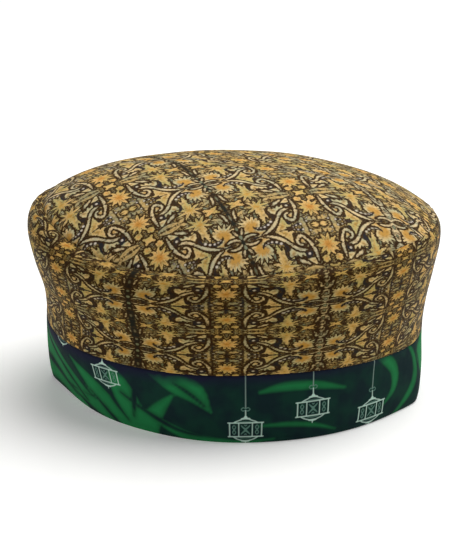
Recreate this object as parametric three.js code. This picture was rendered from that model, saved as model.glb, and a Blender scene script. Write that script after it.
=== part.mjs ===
// A soft round prayer cap standing on its rim, in millimetres with +Z up.
// A domed crown is sewn to a side wall that leans outwards, and a plain band runs round the foot.
// The cap is hollow and open below. The side that is seen first faces -Y.
import * as THREE from "three";
import { ParametricGeometry } from "three/addons/geometries/ParametricGeometry.js";
import { mergeVertices } from "three/addons/utils/BufferGeometryUtils.js";

const CLOTH = 2.0; // printed face cloth with its fused backing
const SEAM_GAP = 0.3; // clear space where two pieces are sewn edge to edge
const SIDES = 60; // steps round the cap
const STEPS_PER_SECTION = 2; // steps up the wall between two rows of SECTIONS
const CROWN_STEPS = 9; // steps from the crown's seam to its top

// Half-widths of the outside to each side of the middle, from the rim up to the crown's seam.
// twist swells the plan towards back left and front right where it is below zero.
const SECTIONS = [
  { name: "rim", height: 0, left: 83.9, right: 87.0, front: 87.2, back: 86.7, twist: -0.028 },
  { name: "foot", height: 7, left: 86.6, right: 89.8, front: 88.1, back: 87.8, twist: -0.02 },
  { name: "band", height: 18, left: 89.6, right: 92.1, front: 89.2, back: 88.9, twist: -0.011 },
  { name: "band_top", height: 34.5, left: 92.9, right: 93.5, front: 90.3, back: 90.0, twist: 0.004 },
  { name: "waist", height: 50, left: 94.7, right: 95.4, front: 90.9, back: 90.8, twist: -0.004 },
  { name: "side", height: 64, left: 99.3, right: 99.0, front: 91.2, back: 91.2, twist: -0.002 },
  { name: "bulge", height: 76, left: 101.9, right: 101.9, front: 90.2, back: 90.5, twist: -0.004 },
  { name: "shoulder", height: 83, left: 100.1, right: 101.5, front: 87.2, back: 88.4, twist: -0.021 },
  { name: "seam", height: 86, left: 94.3, right: 99.6, front: 82.7, back: 85.2, twist: -0.024 },
];
const COLUMNS = ["height", "left", "right", "front", "back", "twist"];
const BAND_TOP = 3; // row of SECTIONS where the band ends
const SEAM = SECTIONS.length - 1; // row of SECTIONS where the crown starts

// The cloth isn't level: each wave lifts the band's top edge and the crown's seam round one place.
const WAVES = [
  { place: "left", angle: 180, spread: 90, bandTop: 0.9, seam: 6.9 },
  { place: "front_left", angle: 225, spread: 45, bandTop: 0, seam: -4.2 },
  { place: "front", angle: 270, spread: 90, bandTop: 0, seam: -6.0 },
  { place: "front_right", angle: 315, spread: 45, bandTop: 0, seam: 1.3 },
  { place: "right", angle: 0, spread: 90, bandTop: -6.1, seam: -1.2 },
];

// Two upright creases, left from storing the cap folded flat, push the rim out into soft corners.
const CREASES = [
  { place: "left", angle: 180, push: 0.102, reach: 11 },
  { place: "right", angle: 336, push: 0.086, reach: 14 },
];
const CREASE_TOP = 40; // height at which the creases have died away
const CREASE_ROUND = 2.5; // degrees over which a crease's ridge is rounded

const CROWN_RISE = 23; // top of the crown above the seam's own height
const CROWN_FLATNESS = 3.0; // the higher it is, the flatter the crown's middle
const CROWN_EDGE = 0.93; // below 1 the crown rises steeply at its seam

const COLOURS = { crown: 0xc09b54, side_wall: 0x8f6f35, band: 0x123a2a };

const radians = THREE.MathUtils.degToRad;
const sectionCurve = new THREE.CubicInterpolant(
  SECTIONS.map((section, row) => row),
  SECTIONS.flatMap((section) => COLUMNS.map((column) => section[column])),
  COLUMNS.length,
);

// The row of SECTIONS at a level, which may lie between two of them.
function sectionAt(level) {
  const values = [...sectionCurve.evaluate(level)];
  return Object.fromEntries(COLUMNS.map((column, i) => [column, values[i]]));
}

// The shortest way round from one angle to another, in degrees without its sign.
function turnBetween(a, b) {
  return Math.abs(THREE.MathUtils.euclideanModulo(a - b + 180, 360) - 180);
}

// Sum of the waves at an angle, each a squared cosine that ends at its spread.
function waveLift(angle, edge) {
  let lift = 0;
  for (const wave of WAVES) {
    const share = Math.min(turnBetween(angle, wave.angle) / wave.spread, 1);
    lift += wave[edge] * Math.cos((share * Math.PI) / 2) ** 2;
  }
  return lift;
}

// The waves fade in from the level rim to the band's top edge, and on from there to the seam.
function liftAt(angle, height) {
  const bandHeight = SECTIONS[BAND_TOP].height;
  const above = THREE.MathUtils.clamp((height - bandHeight) / (SECTIONS[SEAM].height - bandHeight), 0, 1);
  const below = Math.min(height / bandHeight, 1) * (1 - above);
  return waveLift(angle, "seam") * above + waveLift(angle, "bandTop") * below;
}

// How far the creases push the cloth out, as a share of its distance from the middle.
function creasePush(angle, height) {
  const fade = Math.max(1 - height / CREASE_TOP, 0);
  let push = 0;
  for (const crease of CREASES) {
    const turn = Math.hypot(turnBetween(angle, crease.angle), CREASE_ROUND) - CREASE_ROUND;
    push += crease.push * Math.exp(-turn / crease.reach) * fade;
  }
  return push;
}

// A point on the outside of the wall: four quarter ellipses, twisted, creased and lifted.
function wallPoint(level, angle) {
  const section = sectionAt(level);
  const across = Math.cos(radians(angle));
  const along = Math.sin(radians(angle));
  const swell = 1 + section.twist * Math.sin(radians(2 * angle)) + creasePush(angle, section.height);
  return new THREE.Vector3(
    across * (across > 0 ? section.right : section.left) * swell,
    along * (along > 0 ? section.back : section.front) * swell,
    section.height + liftAt(angle, section.height),
  );
}

// A point on the outside of the crown: the seam's outline drawn in towards the middle and raised.
function crownPoint(step, angle) {
  const inwards = Math.cos(((step / CROWN_STEPS) * Math.PI) / 2);
  const edge = wallPoint(SEAM, angle);
  const rise = CROWN_RISE * (1 - inwards ** CROWN_FLATNESS) ** CROWN_EDGE;
  const seamHeight = SECTIONS[SEAM].height;
  const tilt = (edge.z - seamHeight) * inwards ** 2;
  return new THREE.Vector3(edge.x * inwards, edge.y * inwards, seamHeight + rise + tilt);
}

// The outside of the cap up one side, from the rim over the seam to the middle of the crown.
function outsideLine(angle) {
  const line = [];
  for (let step = 0; step <= SEAM * STEPS_PER_SECTION; step++) {
    line.push(wallPoint(step / STEPS_PER_SECTION, angle));
  }
  for (let step = 1; step <= CROWN_STEPS; step++) {
    line.push(crownPoint(step, angle));
  }
  return line;
}

// The unit normal of one stretch of the line, in the upright plane that faces out at this angle.
function stretchNormal(from, to, outwards) {
  const run = to.clone().sub(from);
  const normal = outwards.clone().multiplyScalar(run.z);
  normal.z = -run.dot(outwards);
  return normal.normalize();
}

// The step from the outside to the inside at each point of a line, mitred where the line bends.
function inwardSteps(line, angle) {
  const outwards = new THREE.Vector3(Math.cos(radians(angle)), Math.sin(radians(angle)), 0);
  const top = line.length - 1;
  return line.map((point, i) => {
    if (i === 0) return outwards.clone().multiplyScalar(-CLOTH);
    if (i === top) return new THREE.Vector3(0, 0, -CLOTH);
    const below = stretchNormal(line[i - 1], point, outwards);
    const above = stretchNormal(point, line[i + 1], outwards);
    const both = below.add(above);
    return both.multiplyScalar((-2 * CLOTH) / both.lengthSq());
  });
}

// The closed outline of one piece's cut through its wall, from point first to point last of the line.
// Each sewn end stands back from the join by half the seam gap.
function pieceOutline(angle, first, last) {
  const line = outsideLine(angle);
  const steps = inwardSteps(line, angle);
  const setBack = (end, next) => next.clone().sub(end).setLength(SEAM_GAP / 2);
  const outside = line.slice(first, last + 1);
  if (first > 0) {
    outside[0] = line[first].clone().add(setBack(line[first], line[first + 1]));
  }
  if (last < line.length - 1) {
    outside[outside.length - 1] = line[last].clone().add(setBack(line[last], line[last - 1]));
  }
  const inside = outside.map((point, i) => point.clone().add(steps[first + i])).reverse();
  return [...outside, ...inside];
}

// One piece of cloth as a closed body: its outline carried all the way round the cap.
function clothPiece(name, first, last) {
  const closesOnAxis = last === SEAM * STEPS_PER_SECTION + CROWN_STEPS;
  const outlines = [];
  for (let side = 0; side < SIDES; side++) {
    outlines.push(pieceOutline((side * 360) / SIDES, first, last));
  }
  const count = outlines[0].length;
  const around = (share, way, target) => {
    const outline = outlines[Math.round(share * SIDES) % SIDES];
    target.copy(outline[Math.round(way * count) % count]);
  };
  const geometry = new ParametricGeometry(around, SIDES, count);
  geometry.deleteAttribute("normal");
  geometry.deleteAttribute("uv");
  const closed = withoutFlatFaces(mergeVertices(geometry, 1e-4), closesOnAxis);
  closed.computeVertexNormals();
  const material = new THREE.MeshStandardMaterial({ color: COLOURS[name], roughness: 0.75, metalness: 0 });
  const piece = new THREE.Mesh(closed, material);
  piece.name = name;
  return piece;
}

// Where an outline meets the axis, its triangles there have no area and are dropped.
function withoutFlatFaces(geometry, closesOnAxis) {
  if (!closesOnAxis) return geometry;
  const kept = [];
  for (let i = 0; i < geometry.index.count; i += 3) {
    const [a, b, c] = [0, 1, 2].map((corner) => geometry.index.getX(i + corner));
    if (a !== b && b !== c && c !== a) kept.push(a, b, c);
  }
  geometry.setIndex(kept);
  return geometry;
}

const bandEnd = BAND_TOP * STEPS_PER_SECTION;
const wallEnd = SEAM * STEPS_PER_SECTION;
const cap = new THREE.Group();
cap.add(
  clothPiece("band", 0, bandEnd),
  clothPiece("side_wall", bandEnd, wallEnd),
  clothPiece("crown", wallEnd, wallEnd + CROWN_STEPS),
);

// The origin is on the surface that the cap stands on, under the middle of its outer box.
const middle = new THREE.Box3().setFromObject(cap).getCenter(new THREE.Vector3());
cap.position.set(-middle.x, -middle.y, 0);

export default cap;
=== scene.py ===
"""A soft round prayer cap in printed cloth, standing on its rim, in metres with +Z up.

The domed crown and the side wall carry one gold print, and the band round the foot a green one.
The sections, waves and creases are those of the part's solids. Soft dents and rolled edges are added.
"""

import bpy
import numpy as np
from mathutils import Matrix, Vector


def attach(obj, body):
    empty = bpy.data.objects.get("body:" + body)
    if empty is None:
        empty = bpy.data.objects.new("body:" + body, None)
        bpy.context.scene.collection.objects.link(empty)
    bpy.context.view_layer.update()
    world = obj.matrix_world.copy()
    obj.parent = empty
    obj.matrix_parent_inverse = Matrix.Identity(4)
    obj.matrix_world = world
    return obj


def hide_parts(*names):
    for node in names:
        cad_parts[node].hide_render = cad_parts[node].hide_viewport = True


MM = 0.001
CLOTH = 2.0  # printed face cloth with its fused backing, in millimetres as all sizes below
SEAM_GAP = 0.04  # a hairline where two pieces are sewn edge to edge
SKIP = 5  # the plain inside has one vertex for every five of the printed outside
SEAM_DIP, SEAM_REACH = -0.22, 3.4  # how far the cloth turns in, here out, at the crown's seam, and how wide
VALLEY_DIP, VALLEY_ANGLE = 1.2, 192  # how much further in, round the corner where the crown bulges most
JOIN_DIP, JOIN_REACH = 0.35, 1.6  # the same where the wall is sewn to the band
SEAM_TURN = 5.0  # over this last length the cloth turns to the seam's own slant
HEM_RADIUS = CLOTH / 2  # the rim is a half round
DENT_DEPTH = 0.35  # slow dents all over the soft wall and crown
PUCKER_DEPTH, PUCKER_COUNT = 0.14, 61  # small puckers by the crown's seam, so many round the cap
PUCKER_LENGTH, PUCKER_FADE = 89.0, 5  # where they lie up the wall, and how soon they die away from there
FAR = -3.0  # depth that stands for well outside every shape of a print
TINY = 1e-9  # keeps a length of 0 from dividing by 0

# Half-widths of the outside to each side of the middle, from the rim up to the crown's seam.
SECTIONS = np.array(
    [
        # height, left, right, front, back, twist
        (0.0, 83.9, 87.0, 87.2, 86.7, -0.028),  # rim
        (7.0, 86.6, 89.8, 88.1, 87.8, -0.020),  # foot
        (18.0, 89.6, 92.1, 89.2, 88.9, -0.011),  # band
        (34.5, 92.9, 93.5, 90.3, 90.0, 0.004),  # band top
        (50.0, 94.7, 95.4, 90.9, 90.8, -0.004),  # waist
        (64.0, 99.3, 99.0, 91.2, 91.2, -0.002),  # side
        (76.0, 101.9, 101.9, 90.2, 90.5, -0.004),  # bulge
        (83.0, 100.1, 101.5, 87.2, 88.4, -0.021),  # shoulder
        (86.0, 94.3, 99.6, 82.7, 85.2, -0.024),  # seam
    ]
)
BAND_TOP, SEAM = 3, 8  # rows of SECTIONS where the band ends and the crown starts
SEAM_HEIGHT = SECTIONS[SEAM, 0]

# Each wave lifts the band's top edge and the crown's seam round one place.
WAVES = [
    # angle, spread, lift of the band's top, lift of the seam
    (180, 90, 0.9, 6.9),  # left
    (225, 45, 0.0, -4.2),  # front left
    (270, 90, 0.0, -6.0),  # front
    (315, 45, 0.0, 1.3),  # front right
    (0, 90, -6.1, -1.2),  # right
]

# Upright creases, left from storing the cap folded flat, push the rim out into soft corners.
CREASES = [
    # angle, push, reach
    (180, 0.102, 11),  # left
    (336, 0.086, 14),  # right
]
CREASE_TOP = 40  # height at which the creases have died away
CREASE_ROUND = 2.5  # degrees over which a crease's ridge is rounded

CROWN_RISE = 23  # top of the crown above the seam's own height
CROWN_FLATNESS = 3.0  # the higher it is, the flatter the crown's middle
CROWN_EDGE = 0.93  # below 1 the crown rises steeply at its seam
EDGE_SLOPE, SEAM_SLOPE = 115, 125  # length of cloth for each unit of share, near the crown's seam and at it
DOME_SLOPE = 1.15  # length of cloth for each unit of plan radius there

LEVEL_NUDGE, ANGLE_NUDGE = 0.02, 0.4  # steps to a point's neighbours, in rows of SECTIONS and in degrees
SHARE_NUDGE, INNERMOST = 0.01, 0.002  # the same as a share of the crown, and how near its middle they come

# The grids: lines up and columns round the printed outside of each piece, and lines of its plain inside.
WALL_LINES, WALL_COLUMNS, INNER_WALL_LINES = 140, 640, 16
BAND_LINES, BAND_COLUMNS, INNER_BAND_LINES = 84, 1000, 12
HEM_LINES, INNER_HEM = 9, 2.5  # lines of the hem's half round, and how far up the plain inside starts
CROWN_STEPS = 300  # from one side of the crown's disc grid to the other


def linear(hex_colour):
    """An sRGB hex colour as linear red, green, blue and alpha."""
    values = np.array([int(hex_colour[i : i + 2], 16) for i in (1, 3, 5)]) / 255
    low, high = values / 12.92, ((values + 0.055) / 1.055) ** 2.4
    return (*np.where(values <= 0.04045, low, high), 1.0)


def turn_between(a, b):
    """The shortest way round from one angle to another, in degrees without its sign."""
    return np.abs((a - b + 180) % 360 - 180)


def cubic(rows, row, t):
    """Values on the cubic from a row of a table to the next, at a share t of the way.

    Its slope at a row is half the step between that row's neighbours, and at the two ends the step itself.
    """
    slopes = np.gradient(rows, axis=0)
    between = (2 * t**3 - 3 * t**2 + 1) * rows[row] + (3 * t**2 - 2 * t**3) * rows[row + 1]
    return between + (t**3 - 2 * t**2 + t) * slopes[row] + (t**3 - t**2) * slopes[row + 1]


def section_at(level):
    """The row of SECTIONS at a level from 0 to 8, which may lie between two rows."""
    row = np.clip(np.floor(level).astype(int), 0, SEAM - 1)
    return cubic(SECTIONS, row, (level - row)[..., None])


def lift_at(angle, height):
    """Sum of the waves at an angle, each a squared cosine that ends at its spread.

    They fade in from the level rim to the band's top edge, and on from there to the seam.
    """
    band_height = SECTIONS[BAND_TOP, 0]
    above = np.clip((height - band_height) / (SEAM_HEIGHT - band_height), 0, 1)
    below = np.clip(height / band_height, 0, 1) * (1 - above)
    lift = 0
    for centre, spread, band_lift, seam_lift in WAVES:
        share = np.minimum(turn_between(angle, centre) / spread, 1)
        lift = lift + np.cos(share * np.pi / 2) ** 2 * (seam_lift * above + band_lift * below)
    return lift


def crease_push(angle, height):
    """How far the creases push the cloth out, as a share of its distance from the middle.

    Each dies away exponentially with the turn from its ridge, and evenly up to CREASE_TOP.
    """
    push = 0
    for ridge, size, reach in CREASES:
        turn = np.hypot(turn_between(angle, ridge), CREASE_ROUND) - CREASE_ROUND
        push = push + size * np.exp(-turn / reach)
    return push * np.maximum(1 - height / CREASE_TOP, 0)


def wall_point(level, angle):
    """The outside of the wall: four quarter ellipses at each level, twisted, creased and lifted."""
    height, left, right, front, back, twist = np.moveaxis(section_at(level), -1, 0)
    across, along = np.cos(np.radians(angle)), np.sin(np.radians(angle))
    swell = 1 + twist * np.sin(np.radians(2 * angle)) + crease_push(angle, height)
    x = across * np.where(across > 0, right, left) * swell
    y = along * np.where(along > 0, back, front) * swell
    return np.stack([x, y, height + lift_at(angle, height)], axis=-1)


def crown_point(share, angle):
    """The outside of the crown: the seam's outline drawn in to a share of its size and raised.

    The rise is CROWN_RISE times (1 - share^flatness)^edge, and the seam's own waves fade with share^2.
    """
    edge = wall_point(np.full(np.shape(angle), float(SEAM)), angle)
    rise = CROWN_RISE * (1 - np.clip(share, 0, 1) ** CROWN_FLATNESS) ** CROWN_EDGE
    tilt = (edge[..., 2] - SEAM_HEIGHT) * share**2
    return np.stack([edge[..., 0] * share, edge[..., 1] * share, SEAM_HEIGHT + rise + tilt], axis=-1)


def unit(vectors):
    """Vectors drawn out or in to a length of 1."""
    return vectors / np.linalg.norm(vectors, axis=-1, keepdims=True)


def wall_normal(level, angle):
    """The way out of the wall: across the steps to its neighbours round and up the wall."""
    round_step = wall_point(level, angle + ANGLE_NUDGE) - wall_point(level, angle - ANGLE_NUDGE)
    up_step = wall_point(level + LEVEL_NUDGE, angle) - wall_point(level - LEVEL_NUDGE, angle)
    return unit(np.cross(round_step, up_step))


def crown_normal(share, angle):
    """The way out of the crown, across the steps to its neighbours round it and towards its middle.

    The neighbours stay off the very middle, where all angles meet, and within the seam.
    """
    inner = np.clip(share - SHARE_NUDGE, INNERMOST, 1 - 2 * SHARE_NUDGE)
    outer = np.clip(share + SHARE_NUDGE, INNERMOST + 2 * SHARE_NUDGE, 1)
    middle = (inner + outer) / 2
    round_step = crown_point(middle, angle + ANGLE_NUDGE) - crown_point(middle, angle - ANGLE_NUDGE)
    in_step = crown_point(inner, angle) - crown_point(outer, angle)
    return unit(np.cross(round_step, in_step))


def seam_normal(angle):
    """At the seam both pieces turn in the same way, half-way between their own normals."""
    level, share = np.full(np.shape(angle), float(SEAM)), np.ones(np.shape(angle))
    return unit(wall_normal(level, angle) + crown_normal(share, angle))


def turned_to_seam(normal, angle, distance):
    """The normals near the crown's seam turned to the seam's own over the length SEAM_TURN."""
    near = np.clip(1 - distance / SEAM_TURN, 0, 1)[..., None] ** 2
    return unit(normal * (1 - near) + seam_normal(angle) * near)


def seam_dip(angle):
    """How far both pieces turn in at the crown's seam: more by a cubed cosine round VALLEY_ANGLE."""
    return SEAM_DIP + VALLEY_DIP * np.maximum(np.cos(np.radians(angle - VALLEY_ANGLE)), 0) ** 3


def roll_in(distance, depth, width):
    """How far the cloth dips at a sewn edge: depth times the square of what is left of the width."""
    return depth * np.clip(1 - distance / width, 0, 1) ** 2


def dents(angle, length):
    """How far the soft cloth sinks in and out on its own.

    Two slow waves, five and three to the round and leaning opposite ways, cross each other. By the crown's
    seam come puckers, whose spacing swings seven times round the cap.
    """
    turn = np.radians(angle)
    slow = np.sin(5 * turn + length / 17) * np.sin(3 * turn - length / 29 + 1)
    ripple = np.sin(PUCKER_COUNT * turn + 2 * np.sin(7 * turn))
    puckers = ripple * np.exp(-np.abs(length - PUCKER_LENGTH) / PUCKER_FADE)
    return DENT_DEPTH * slow + PUCKER_DEPTH * puckers


def line_length(points):
    """The length along the first axis of a grid of points, from its first row."""
    steps = np.linalg.norm(np.diff(points, axis=0), axis=-1)
    return np.concatenate([np.zeros_like(steps[:1]), np.cumsum(steps, axis=0)])


def ring_quads(rows, columns, closed, turned=False, start=0):
    """Quads of a grid of vertices, wrapped round if closed. Turned, they face the other way."""
    index = start + np.arange(rows * columns).reshape(rows, columns)
    beside = np.roll(index, -1, axis=1) if closed else index[:, 1:]
    index = index if closed else index[:, :-1]
    quads = np.stack([index[:-1], beside[:-1], beside[1:], index[1:]], axis=-1).reshape(-1, 4)
    return quads[:, ::-1] if turned else quads


def joining_faces(outer, inner, turned=False):
    """Faces that join an edge of the outside to one of the inside, SKIP outer steps to each inner one."""
    steps = np.arange(SKIP, -1, -1) + SKIP * np.arange(len(inner))[:, None]
    chain = outer[steps % len(outer)]
    faces = np.concatenate([chain, inner[:, None], np.roll(inner, -1)[:, None]], axis=1)
    return faces[:, ::-1] if turned else faces


def cloth_object(name, points, face_groups, fields, maps, materials):
    """A mesh object from arrays: points in millimetres, groups of faces each with its material number,
    fields of one number for each point, and maps of two numbers for each corner of each face.
    """
    mesh = bpy.data.meshes.new(name)
    corners = np.concatenate([faces.ravel() for faces, slot in face_groups])
    sizes = np.concatenate([np.full(len(faces), faces.shape[1]) for faces, slot in face_groups])
    starts = np.cumsum(sizes) - sizes
    slots = np.concatenate([np.full(len(faces), slot) for faces, slot in face_groups])
    mesh.vertices.add(len(points))
    mesh.vertices.foreach_set("co", (points * MM).astype(np.float32).ravel())
    mesh.loops.add(len(corners))
    mesh.loops.foreach_set("vertex_index", corners.astype(np.int32))
    mesh.polygons.add(len(sizes))
    mesh.polygons.foreach_set("loop_start", starts.astype(np.int32))
    mesh.polygons.foreach_set("material_index", slots.astype(np.int32))
    mesh.polygons.foreach_set("use_smooth", sizes == 4)
    mesh.update(calc_edges=True)
    for field, values in fields.items():
        mesh.attributes.new(field, "FLOAT", "POINT").data.foreach_set("value", values.astype(np.float32))
    for layer, values in maps.items():
        uv_map = mesh.uv_layers.new(name=layer)
        uv_map.uv.foreach_set("vector", values.astype(np.float32).ravel())
    for material in materials:
        mesh.materials.append(material)
    piece = bpy.data.objects.new(name, mesh)
    bpy.context.scene.collection.objects.link(piece)
    return piece


def table_value(table, row):
    """Values of a table at rows that may lie between two of its rows, one column beside the other."""
    below = np.clip(np.floor(row).astype(int), 0, len(table) - 2)
    share = row - below
    columns = np.arange(table.shape[1])
    return table[below, columns] * (1 - share) + table[below + 1, columns] * share


# The baked picture of a strip, in shares of its sides: the printed outside lies in stacked lengths at the
# left, and the plain inside stands at the right.
STACKS = 4  # lengths that the strip is cut into
STACK_START, STACK_WIDTH = 0.004, 0.74
STACK_MARGIN = 0.02  # left free below and above a length, as a share of its height
INSIDE_START, INSIDE_WIDTH, INSIDE_MARGIN = 0.76, 0.23, 0.01
RING_SHARE = 0.1  # share of the inside's width for each ring of faces that closes the strip
INSIDE_SCALE = 100  # millimetres that the whole picture stands for, on the plain cloth

# The baked picture of the crown: two discs on its diagonal, each with its middle and its radius.
PRINTED_DISC, PLAIN_DISC, RING_RADIUS = (0.47, 0.46), (0.865, 0.115), 0.125

FINE_LEVELS = np.linspace(0, SEAM, 321)
LEVEL_STEPS = 40  # rows of FINE_LEVELS in one row of SECTIONS
GIRTH_LEVEL = 4.5  # the ring of the wall along which lengths round the cap are taken


def round_the_cap(angle):
    """Length along the wall from the middle of the front, to the right, for angles from 90 to 450."""
    angles = np.linspace(90, 450, 1441)
    ring = wall_point(np.full(angles.shape, GIRTH_LEVEL), angles)
    length = line_length(ring)
    return np.interp(angle, angles, length - np.interp(270, angles, length))


def fine_heights(angles):
    """Length along the wall from the rim to each of FINE_LEVELS, a column for each angle."""
    return line_length(wall_point(*np.meshgrid(FINE_LEVELS, angles, indexing="ij")))


def up_the_wall(level, angle):
    """Length along the wall from the rim, for a column of levels and a row of angles."""
    return table_value(fine_heights(angle), level[:, None] * LEVEL_STEPS)


MEAN_HEIGHTS = fine_heights(np.arange(0, 360, 10.0)).mean(axis=1)


def level_at(length):
    """The level at a mean length along the wall from the rim."""
    return np.interp(length, MEAN_HEIGHTS, FINE_LEVELS)


def wall_length(level):
    """The mean length along the wall from the rim to a level, the other way round from level_at."""
    return np.interp(level, FINE_LEVELS, MEAN_HEIGHTS)


def strip_points(lengths, depths, angles):
    """A grid on the wall, a row for each length up from the rim, sunk by depths into the cloth."""
    level, angle = np.meshgrid(level_at(lengths), angles, indexing="ij")
    to_seam = (wall_length(SEAM) - lengths)[:, None] + np.zeros_like(angle)
    normal = turned_to_seam(wall_normal(level, angle), angle, to_seam)
    return wall_point(level, angle) - depths[..., None] * normal


def strip_maps(round_length, up_length, inner_rows):
    """The corners' places for the groups of faces of a strip, in the order that strip_piece makes them.

    "cloth" has the lengths round and up the wall in millimetres. "OFBake" stacks the long outside in
    STACKS lengths, one above the other, with the plain inside standing beside them.
    """
    rows, columns = up_length.shape
    at = np.arange(columns)
    per_stack = columns // STACKS
    stack = at // per_stack
    longest = np.diff(round_length[::per_stack]).max()
    up_share = (up_length - up_length.min()) / np.ptp(up_length)
    cloth, bake = [], []
    for up, beside in [(0, 0), (0, 1), (1, 1), (1, 0)]:
        height = np.roll(up_length, -beside, axis=1)[up : rows - 1 + up]
        share = np.roll(up_share, -beside, axis=1)[up : rows - 1 + up]
        x = np.broadcast_to(round_length[at + beside], height.shape)
        cloth.append(np.stack([x, height], axis=-1))
        along = (x - round_length[stack * per_stack]) / longest
        up_stack = (stack + STACK_MARGIN + share * (1 - 2 * STACK_MARGIN)) / STACKS
        bake.append(np.stack([STACK_START + along * STACK_WIDTH, up_stack], axis=-1))
    cloth = np.stack(cloth, axis=2).reshape(-1, 2)
    bake = np.stack(bake, axis=2).reshape(-1, 2)
    plain = plain_strip_map(columns, inner_rows)
    return {"cloth": np.concatenate([cloth, plain * INSIDE_SCALE]), "OFBake": np.concatenate([bake, plain])}


def plain_strip_map(columns, inner_rows):
    """A narrow upright strip for the inside of a strip and the two rings of faces that close it."""
    inner_columns = columns // SKIP
    inside_end = INSIDE_START + INSIDE_WIDTH
    across = INSIDE_START + INSIDE_WIDTH * np.linspace(RING_SHARE, 1 - RING_SHARE, inner_rows)
    step = (1 - 2 * INSIDE_MARGIN) / inner_columns
    up = INSIDE_MARGIN + step * np.arange(inner_columns)
    quads = []
    for row, beside in [(1, 0), (1, 1), (0, 1), (0, 0)]:
        u, v = np.meshgrid(across[row : inner_rows - 1 + row], up, indexing="ij")
        quads.append(np.stack([u, v + beside * step], axis=-1))
    parts = [np.stack(quads, axis=2).reshape(-1, 2)]
    v = up[:, None] + step * np.append(np.arange(SKIP, -1, -1) / SKIP, [0, 1])
    for edge, inner_edge, turned in ((INSIDE_START, across[0], False), (inside_end, across[-1], True)):
        u = np.full(v.shape, edge)
        u[:, -2:] = inner_edge
        ring = np.stack([u, v], axis=-1)
        parts.append((ring[:, ::-1] if turned else ring).reshape(-1, 2))
    return np.concatenate(parts)


def with_plain(printed, plain_count):
    """The print's fields for every point of a piece: those of the outside, then FAR for the plain ones."""
    plain = np.full(plain_count, FAR)
    return {field: np.append(values.ravel(), plain) for field, values in printed.items()}


def strip_piece(name, lengths, depths, angles, inner_lengths, fields_at, materials):
    """A closed strip of cloth right round the wall, printed outside and plain inside.

    lengths and depths give the rows of the outside and inner_lengths those of the inside, and fields_at
    works out the print from the lengths round and up the wall.
    """
    outside = strip_points(lengths, depths + dents(angles, lengths[:, None]), angles)
    inside = strip_points(inner_lengths, np.full((len(inner_lengths), 1), CLOTH), angles[::SKIP])
    rows, columns = outside.shape[:2]
    inner_rows, inner_columns = inside.shape[:2]
    start = rows * columns
    outer_index = np.arange(start).reshape(rows, columns)
    inner_index = start + np.arange(inner_rows * inner_columns).reshape(inner_rows, inner_columns)
    groups = [
        (ring_quads(rows, columns, True), 0),
        (ring_quads(inner_rows, inner_columns, True, turned=True, start=start), 1),
        (joining_faces(outer_index[0], inner_index[0]), 1),
        (joining_faces(outer_index[-1], inner_index[-1], turned=True), 0),
    ]
    round_length = round_the_cap(np.append(angles, angles[0] + 360))
    up_length = up_the_wall(level_at(lengths), angles)
    printed = fields_at(np.broadcast_to(round_length[:-1], up_length.shape), up_length)
    points = np.concatenate([outside.reshape(-1, 3), inside.reshape(-1, 3)])
    maps = strip_maps(round_length, up_length, inner_rows)
    return cloth_object(name, points, groups, with_plain(printed, inner_index.size), maps, materials)


def disc_places(steps):
    """A square grid bent into a disc: the share of the way out and the angle of each of its points.

    A point keeps the square ring that it lies on, and its place along the ring's side becomes an angle.
    """
    across, along = np.meshgrid(np.linspace(-1, 1, steps + 1), np.linspace(-1, 1, steps + 1))
    sideways = np.abs(across) > np.abs(along)
    share = np.where(sideways, across, along)
    other = np.where(sideways, along, across)
    turn = 45 * other / np.where(share == 0, 1, share)
    angle = np.where(sideways, turn, 90 - turn) + np.where(share < 0, 180, 0)
    return np.abs(share), angle


def edge_of(index):
    """The indices round the edge of a square grid, to the left as seen from outside the cap."""
    return np.concatenate([index[0, :-1], index[:-1, -1], index[-1, :0:-1], index[:0:-1, 0]])


def disc_points(share, angle, depth):
    """A grid on the crown, sunk into the cloth by a depth that may differ from point to point."""
    radius = np.hypot(*np.moveaxis(crown_point(np.ones_like(share), angle)[..., :2], -1, 0))
    normal = turned_to_seam(crown_normal(share, angle), angle, (1 - share) * radius * DOME_SLOPE)
    return crown_point(share, angle) - depth[..., None] * normal


def crown_places(share, angle):
    """Where each point of the crown lies on the flat cloth, to the right of its middle and back from it.

    The direction is kept, and the distance is the length of the cloth from the middle of the crown.
    """
    line = crown_point(share[..., None] * np.linspace(0, 1, 25), angle[..., None])
    length = np.linalg.norm(np.diff(line, axis=-2), axis=-1).sum(axis=-1)
    edge = crown_point(np.ones_like(share), angle)
    return length[..., None] * unit(edge[..., :2])


def crown_maps(places, inner_places, groups):
    """The corners' places for the groups of faces of the crown, in the order that crown_piece makes them.

    "cloth" has the lengths from the crown's middle in millimetres. "OFBake" has the printed disc and, in
    the corner beside it, the plain one with the ring of faces that closes the seam round it.
    """
    flat, inner_flat = places.reshape(-1, 2), inner_places.reshape(-1, 2)
    longest = np.linalg.norm(flat, axis=-1).max()
    outer_bake = PRINTED_DISC[0] + flat / longest * PRINTED_DISC[1]
    bake = np.concatenate([outer_bake, PLAIN_DISC[0] + inner_flat * PLAIN_DISC[1]])
    cloth = np.concatenate([flat, places[::SKIP, ::SKIP].reshape(-1, 2)])
    corners = np.concatenate([groups[0][0].ravel(), groups[1][0].ravel()])
    ring = groups[2][0]
    ring_bake = PLAIN_DISC[0] + unit(flat[ring % len(flat)]) * RING_RADIUS
    ring_bake[:, -2:] = bake[ring[:, -2:]]
    ring_bake = ring_bake.reshape(-1, 2)
    return {
        "cloth": np.concatenate([cloth[corners], ring_bake * INSIDE_SCALE]),
        "OFBake": np.concatenate([bake[corners], ring_bake]),
    }


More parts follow.
